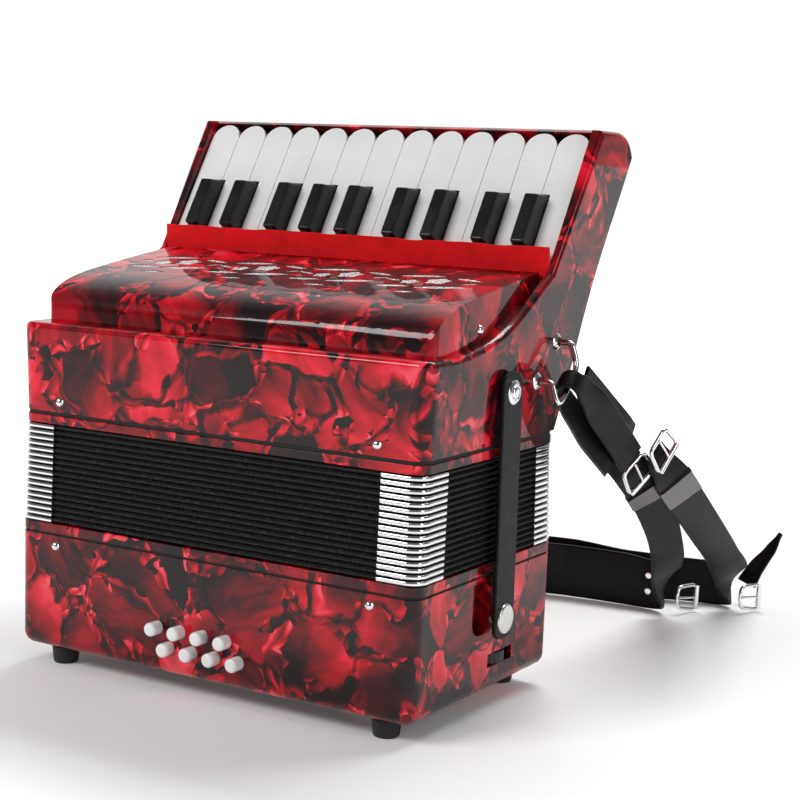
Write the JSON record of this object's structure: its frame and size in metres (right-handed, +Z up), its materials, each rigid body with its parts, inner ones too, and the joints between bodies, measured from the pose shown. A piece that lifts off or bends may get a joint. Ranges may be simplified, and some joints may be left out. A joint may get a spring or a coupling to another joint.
{
  "type": "piano accordion",
  "caption": "Small piano accordion: sprung piano keys and bass buttons on two pearloid casings joined by folding bellows, with leaf grille, leather bellows straps and shoulder straps.",
  "frame": {"origin": "on the floor plane, below the middle of the bellows", "axes": "+X along the keyboard to its low-note end, -Y towards the front with the bass buttons, +Z up through the bellows"},
  "size_m": [0.336, 0.3848, 0.2924],
  "materials": {
    "red_pearloid": "deep red pearloid with a clear gloss",
    "white_keytop": "gloss",
    "black_keytop": "satin",
    "black_plastic": "matte",
    "rubber": "matte",
    "wood": "raw",
    "reed_metal": "plain",
    "gasket": "felted",
    "chrome_fittings": "polished",
    "leather": "smooth",
    "bellows_cloth": "bookbinder cloth",
    "steel": "drawn wire",
    "glitter_cloth": "silver glitter",
    "felt": "felt"
  },
  "bodies": {
    "bass_section": {"bass_casing": "red_pearloid", "bass_end_plate": "black_plastic", "rubber_feet": "rubber", "bass_soundboard": "wood", "bass_reed_assembly": "reed_metal", "bass_bellows_frame": "red_pearloid", "bass_gasket": "gasket", "bass_hardware": "chrome_fittings", "hand_strap": "leather", "bellows_folds": "bellows_cloth", "bellows_corners": "chrome_fittings"},
    "treble_section": {"treble_bellows_frame": "red_pearloid", "treble_gasket": "gasket", "treble_hardware": "chrome_fittings", "treble_casing": "red_pearloid", "key_bed": "wood", "key_axle": "steel", "key_springs": "steel", "treble_soundboard": "wood", "treble_reed_assembly": "reed_metal", "grille_cover": "red_pearloid", "grille_mesh": "glitter_cloth", "felt_strip": "felt", "shoulder_straps": "leather"},
    "air_button": {"air_button": "white_keytop"},
    "strap_adjuster_wheel": {"strap_adjuster_wheel": "black_plastic"},
    "bass_button_1": {"bass_button_1": "white_keytop"},
    "bass_button_2": {"bass_button_2": "white_keytop"},
    "bass_button_3": {"bass_button_3": "white_keytop"},
    "bass_button_4": {"bass_button_4": "white_keytop"},
    "bass_button_5": {"bass_button_5": "white_keytop"},
    "bass_button_6": {"bass_button_6": "white_keytop"},
    "bass_button_7": {"bass_button_7": "white_keytop"},
    "bass_button_8": {"bass_button_8": "white_keytop"},
    "white_key_01": {"white_key_01": "white_keytop"},
    "black_key_02": {"black_key_02": "black_keytop"},
    "white_key_03": {"white_key_03": "white_keytop"},
    "black_key_04": {"black_key_04": "black_keytop"},
    "white_key_05": {"white_key_05": "white_keytop"},
    "white_key_06": {"white_key_06": "white_keytop"},
    "black_key_07": {"black_key_07": "black_keytop"},
    "white_key_08": {"white_key_08": "white_keytop"},
    "black_key_09": {"black_key_09": "black_keytop"},
    "white_key_10": {"white_key_10": "white_keytop"},
    "black_key_11": {"black_key_11": "black_keytop"},
    "white_key_12": {"white_key_12": "white_keytop"},
    "white_key_13": {"white_key_13": "white_keytop"},
    "black_key_14": {"black_key_14": "black_keytop"},
    "white_key_15": {"white_key_15": "white_keytop"},
    "black_key_16": {"black_key_16": "black_keytop"},
    "white_key_17": {"white_key_17": "white_keytop"},
    "white_key_18": {"white_key_18": "white_keytop"},
    "black_key_19": {"black_key_19": "black_keytop"},
    "white_key_20": {"white_key_20": "white_keytop"},
    "black_key_21": {"black_key_21": "black_keytop"},
    "white_key_22": {"white_key_22": "white_keytop"},
    "strap_bail_right": {"strap_bail_right": "chrome_fittings"},
    "strap_bail_left": {"strap_bail_left": "chrome_fittings"},
    "bellows_strap_right": {"bellows_strap_right": "leather"},
    "bellows_strap_left": {"bellows_strap_left": "leather"}
  },
  "joints": [
    {"name": "bellows_draw", "type": "slide", "parent": "bass_section", "child": "treble_section", "axis": [0, 0, 1], "range_m": [0, 0.2], "deforming": ["bellows_folds", "bellows_corners", "key_springs"]},
    {"name": "white_key_01_press", "type": "hinge", "parent": "treble_section", "child": "white_key_01", "pos_m": [0, 0.0532, 0.2054], "axis": [-1, 0, 0], "range_deg": [0, 2.5], "stiffness_Nm_per_rad": 0.1, "springref_deg": -34.38},
    {"name": "black_key_02_press", "type": "hinge", "parent": "treble_section", "child": "black_key_02", "pos_m": [0, 0.0532, 0.2054], "axis": [-1, 0, 0], "range_deg": [0, 2.5], "stiffness_Nm_per_rad": 0.1, "springref_deg": -34.38},
    {"name": "white_key_03_press", "type": "hinge", "parent": "treble_section", "child": "white_key_03", "pos_m": [0, 0.0532, 0.2054], "axis": [-1, 0, 0], "range_deg": [0, 2.5], "stiffness_Nm_per_rad": 0.1, "springref_deg": -34.38},
    {"name": "black_key_04_press", "type": "hinge", "parent": "treble_section", "child": "black_key_04", "pos_m": [0, 0.0532, 0.2054], "axis": [-1, 0, 0], "range_deg": [0, 2.5], "stiffness_Nm_per_rad": 0.1, "springref_deg": -34.38},
    {"name": "white_key_05_press", "type": "hinge", "parent": "treble_section", "child": "white_key_05", "pos_m": [0, 0.0532, 0.2054], "axis": [-1, 0, 0], "range_deg": [0, 2.5], "stiffness_Nm_per_rad": 0.1, "springref_deg": -34.38},
    {"name": "white_key_06_press", "type": "hinge", "parent": "treble_section", "child": "white_key_06", "pos_m": [0, 0.0532, 0.2054], "axis": [-1, 0, 0], "range_deg": [0, 2.5], "stiffness_Nm_per_rad": 0.1, "springref_deg": -34.38},
    {"name": "black_key_07_press", "type": "hinge", "parent": "treble_section", "child": "black_key_07", "pos_m": [0, 0.0532, 0.2054], "axis": [-1, 0, 0], "range_deg": [0, 2.5], "stiffness_Nm_per_rad": 0.1, "springref_deg": -34.38},
    {"name": "white_key_08_press", "type": "hinge", "parent": "treble_section", "child": "white_key_08", "pos_m": [0, 0.0532, 0.2054], "axis": [-1, 0, 0], "range_deg": [0, 2.5], "stiffness_Nm_per_rad": 0.1, "springref_deg": -34.38},
    {"name": "black_key_09_press", "type": "hinge", "parent": "treble_section", "child": "black_key_09", "pos_m": [0, 0.0532, 0.2054], "axis": [-1, 0, 0], "range_deg": [0, 2.5], "stiffness_Nm_per_rad": 0.1, "springref_deg": -34.38},
    {"name": "white_key_10_press", "type": "hinge", "parent": "treble_section", "child": "white_key_10", "pos_m": [0, 0.0532, 0.2054], "axis": [-1, 0, 0], "range_deg": [0, 2.5], "stiffness_Nm_per_rad": 0.1, "springref_deg": -34.38},
    {"name": "black_key_11_press", "type": "hinge", "parent": "treble_section", "child": "black_key_11", "pos_m": [0, 0.0532, 0.2054], "axis": [-1, 0, 0], "range_deg": [0, 2.5], "stiffness_Nm_per_rad": 0.1, "springref_deg": -34.38},
    {"name": "white_key_12_press", "type": "hinge", "parent": "treble_section", "child": "white_key_12", "pos_m": [0, 0.0532, 0.2054], "axis": [-1, 0, 0], "range_deg": [0, 2.5], "stiffness_Nm_per_rad": 0.1, "springref_deg": -34.38},
    {"name": "white_key_13_press", "type": "hinge", "parent": "treble_section", "child": "white_key_13", "pos_m": [0, 0.0532, 0.2054], "axis": [-1, 0, 0], "range_deg": [0, 2.5], "stiffness_Nm_per_rad": 0.1, "springref_deg": -34.38},
    {"name": "black_key_14_press", "type": "hinge", "parent": "treble_section", "child": "black_key_14", "pos_m": [0, 0.0532, 0.2054], "axis": [-1, 0, 0], "range_deg": [0, 2.5], "stiffness_Nm_per_rad": 0.1, "springref_deg": -34.38},
    {"name": "white_key_15_press", "type": "hinge", "parent": "treble_section", "child": "white_key_15", "pos_m": [0, 0.0532, 0.2054], "axis": [-1, 0, 0], "range_deg": [0, 2.5], "stiffness_Nm_per_rad": 0.1, "springref_deg": -34.38},
    {"name": "black_key_16_press", "type": "hinge", "parent": "treble_section", "child": "black_key_16", "pos_m": [0, 0.0532, 0.2054], "axis": [-1, 0, 0], "range_deg": [0, 2.5], "stiffness_Nm_per_rad": 0.1, "springref_deg": -34.38},
    {"name": "white_key_17_press", "type": "hinge", "parent": "treble_section", "child": "white_key_17", "pos_m": [0, 0.0532, 0.2054], "axis": [-1, 0, 0], "range_deg": [0, 2.5], "stiffness_Nm_per_rad": 0.1, "springref_deg": -34.38},
    {"name": "white_key_18_press", "type": "hinge", "parent": "treble_section", "child": "white_key_18", "pos_m": [0, 0.0532, 0.2054], "axis": [-1, 0, 0], "range_deg": [0, 2.5], "stiffness_Nm_per_rad": 0.1, "springref_deg": -34.38},
    {"name": "black_key_19_press", "type": "hinge", "parent": "treble_section", "child": "black_key_19", "pos_m": [0, 0.0532, 0.2054], "axis": [-1, 0, 0], "range_deg": [0, 2.5], "stiffness_Nm_per_rad": 0.1, "springref_deg": -34.38},
    {"name": "white_key_20_press", "type": "hinge", "parent": "treble_section", "child": "white_key_20", "pos_m": [0, 0.0532, 0.2054], "axis": [-1, 0, 0], "range_deg": [0, 2.5], "stiffness_Nm_per_rad": 0.1, "springref_deg": -34.38},
    {"name": "black_key_21_press", "type": "hinge", "parent": "treble_section", "child": "black_key_21", "pos_m": [0, 0.0532, 0.2054], "axis": [-1, 0, 0], "range_deg": [0, 2.5], "stiffness_Nm_per_rad": 0.1, "springref_deg": -34.38},
    {"name": "white_key_22_press", "type": "hinge", "parent": "treble_section", "child": "white_key_22", "pos_m": [0, 0.0532, 0.2054], "axis": [-1, 0, 0], "range_deg": [0, 2.5], "stiffness_Nm_per_rad": 0.1, "springref_deg": -34.38},
    {"name": "bass_button_1_press", "type": "slide", "parent": "bass_section", "child": "bass_button_1", "axis": [0, 1, 0], "range_m": [0, 0.003], "stiffness_N_per_m": 200, "springref_m": -0.004},
    {"name": "bass_button_2_press", "type": "slide", "parent": "bass_section", "child": "bass_button_2", "axis": [0, 1, 0], "range_m": [0, 0.003], "stiffness_N_per_m": 200, "springref_m": -0.004},
    {"name": "bass_button_3_press", "type": "slide", "parent": "bass_section", "child": "bass_button_3", "axis": [0, 1, 0], "range_m": [0, 0.003], "stiffness_N_per_m": 200, "springref_m": -0.004},
    {"name": "bass_button_4_press", "type": "slide", "parent": "bass_section", "child": "bass_button_4", "axis": [0, 1, 0], "range_m": [0, 0.003], "stiffness_N_per_m": 200, "springref_m": -0.004},
    {"name": "bass_button_5_press", "type": "slide", "parent": "bass_section", "child": "bass_button_5", "axis": [0, 1, 0], "range_m": [0, 0.003], "stiffness_N_per_m": 200, "springref_m": -0.004},
    {"name": "bass_button_6_press", "type": "slide", "parent": "bass_section", "child": "bass_button_6", "axis": [0, 1, 0], "range_m": [0, 0.003], "stiffness_N_per_m": 200, "springref_m": -0.004},
    {"name": "bass_button_7_press", "type": "slide", "parent": "bass_section", "child": "bass_button_7", "axis": [0, 1, 0], "range_m": [0, 0.003], "stiffness_N_per_m": 200, "springref_m": -0.004},
    {"name": "bass_button_8_press", "type": "slide", "parent": "bass_section", "child": "bass_button_8", "axis": [0, 1, 0], "range_m": [0, 0.003], "stiffness_N_per_m": 200, "springref_m": -0.004},
    {"name": "air_button_press", "type": "slide", "parent": "bass_section", "child": "air_button", "axis": [0, 0, 1], "range_m": [0, 0.003], "stiffness_N_per_m": 200, "springref_m": -0.004},
    {"name": "adjuster_turn", "type": "hinge", "parent": "bass_section", "child": "strap_adjuster_wheel", "pos_m": [0.1119, 0.0155, 0.0265], "axis": [0, 0, 1], "continuous": true},
    {"name": "strap_bail_right_swing", "type": "hinge", "parent": "treble_section", "child": "strap_bail_right", "pos_m": [0.12867, 0.0594, 0.1837], "axis": [-0.0295, -0.7105, -0.703], "range_deg": [0, 5]},
    {"name": "strap_bail_left_swing", "type": "hinge", "parent": "treble_section", "child": "strap_bail_left", "pos_m": [-0.12867, 0.0594, 0.1837], "axis": [-0.0295, 0.7105, 0.703], "range_deg": [0, 5]},
    {"name": "bellows_strap_right_swing", "type": "hinge", "parent": "treble_section", "child": "bellows_strap_right", "pos_m": [0.12799, 0.007, 0.1629], "axis": [1, 0, 0], "range_deg": [-100, 45]},
    {"name": "bellows_strap_left_swing", "type": "hinge", "parent": "treble_section", "child": "bellows_strap_left", "pos_m": [-0.12799, 0.007, 0.1629], "axis": [1, 0, 0], "range_deg": [-100, 45]}
  ]
}
